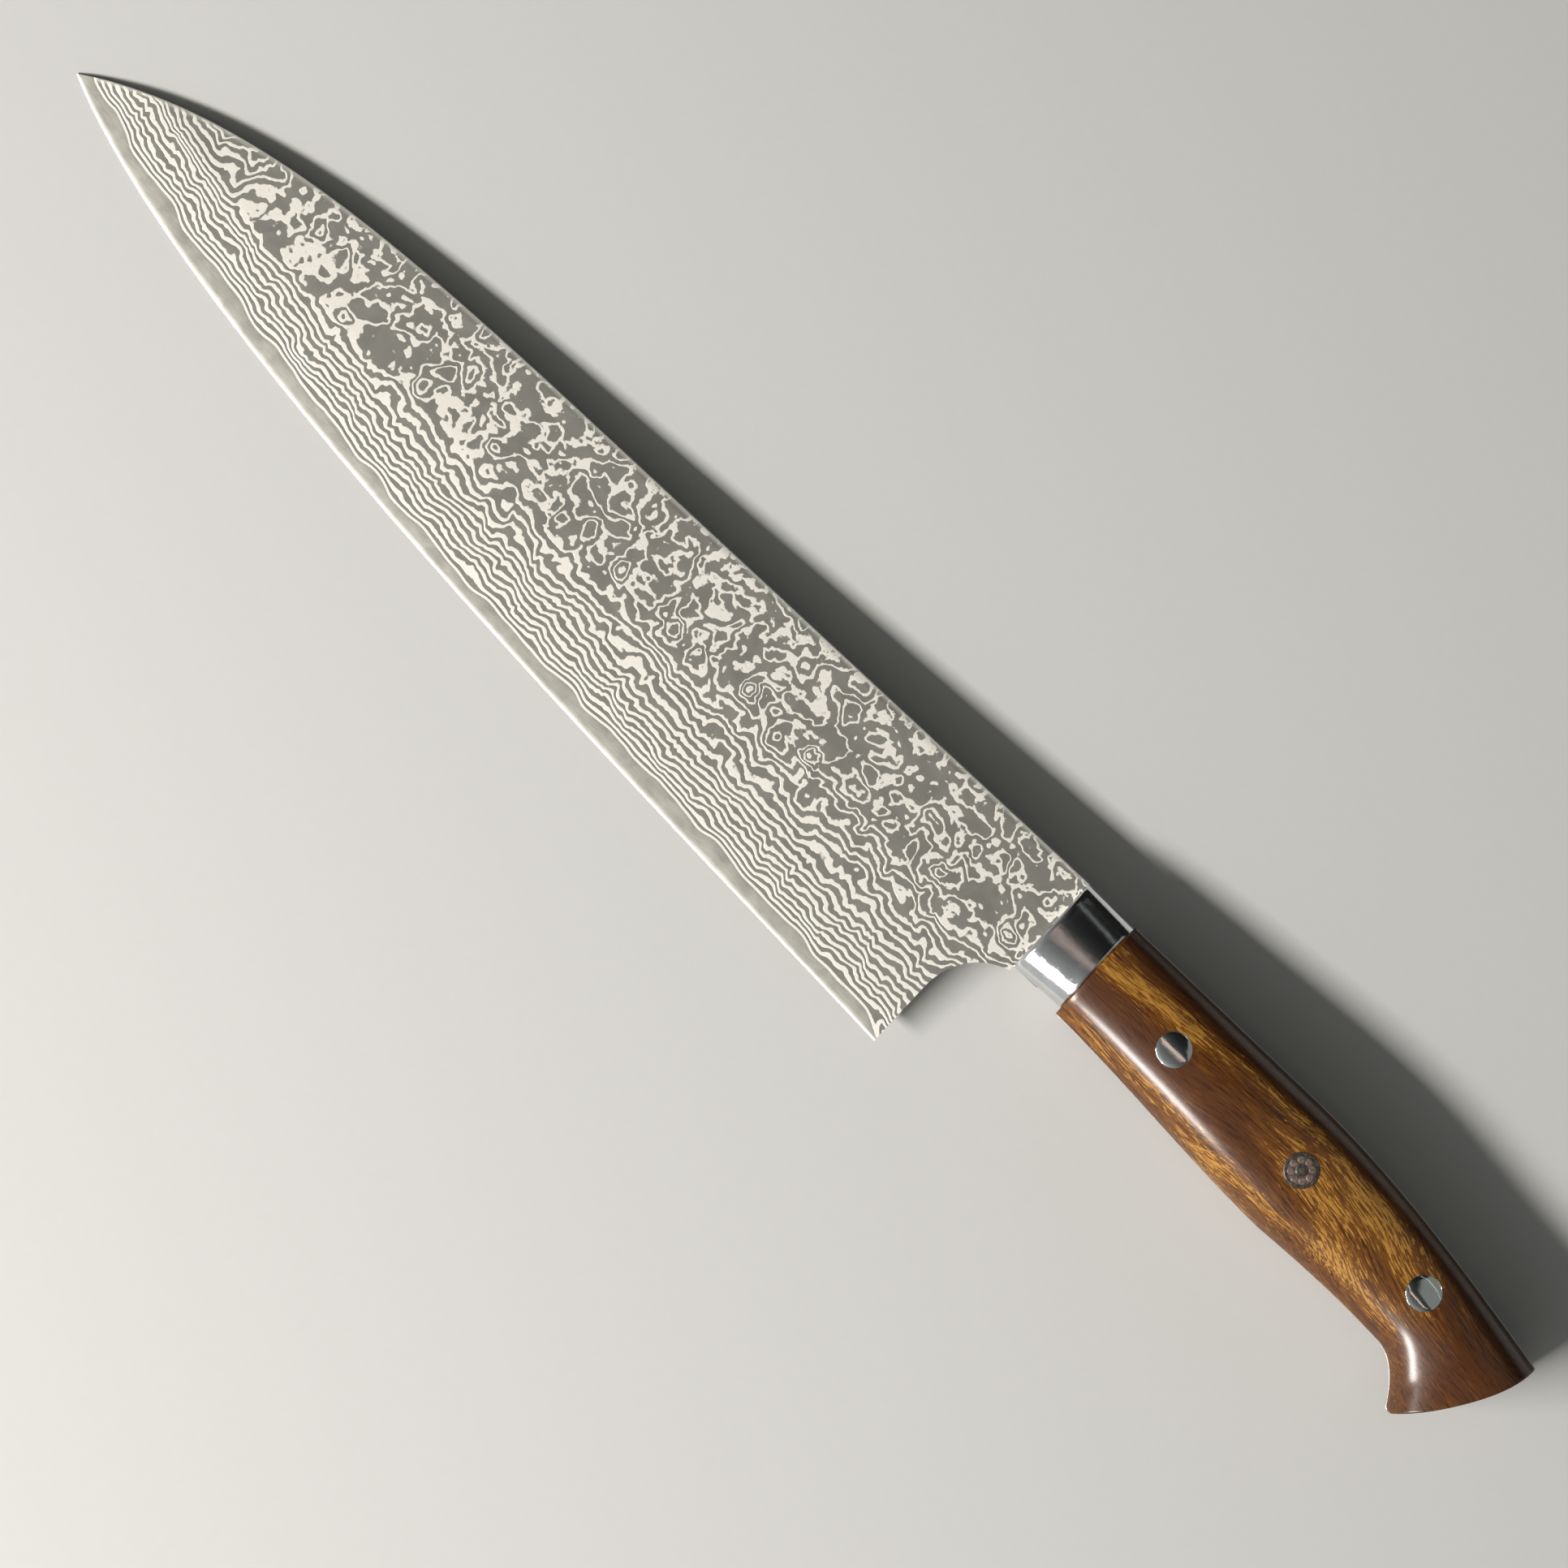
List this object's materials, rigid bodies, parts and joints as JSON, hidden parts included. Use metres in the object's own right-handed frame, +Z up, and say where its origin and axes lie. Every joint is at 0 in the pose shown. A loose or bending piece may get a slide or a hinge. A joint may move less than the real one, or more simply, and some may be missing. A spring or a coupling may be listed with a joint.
{
  "type": "chef knife",
  "caption": "Long pointed kitchen knife lying on its side: layered steel blade, polished bolster and a full-tang wooden handle with through pins.",
  "frame": {"origin": "centre of the bottom of the knife's box as it lies on its right side, on the table", "axes": "+X toward the point of the blade, +Y toward the cutting edge, +Z up out of the left face"},
  "size_m": [0.3721, 0.05, 0.0226],
  "materials": {
    "core_steel": "fine satin, ground along the edge",
    "layered_steel": "etched layers, light lines on grey",
    "tang_steel": "ground flush with the wood",
    "bolster_steel": "mirror polish",
    "scale_wood": "figured hardwood, waxed and buffed",
    "pin_steel": "polished flush",
    "mosaic_tube_steel": "polished flush",
    "mosaic_rod_metal": "polished flush, dulled",
    "mosaic_resin": "cast resin, sanded flush"
  },
  "bodies": {
    "root": {"blade_core": "core_steel", "cladding_left": "layered_steel", "cladding_right": "layered_steel", "tang": "tang_steel", "bolster_left": "bolster_steel", "bolster_right": "bolster_steel", "scale_left": "scale_wood", "scale_right": "scale_wood", "front_pin": "pin_steel", "rear_pin": "pin_steel", "mosaic_pin_tube": "mosaic_tube_steel", "mosaic_pin_rods": "mosaic_rod_metal", "mosaic_pin_core": "mosaic_tube_steel", "mosaic_pin_resin": "mosaic_resin"}
  },
  "joints": []
}
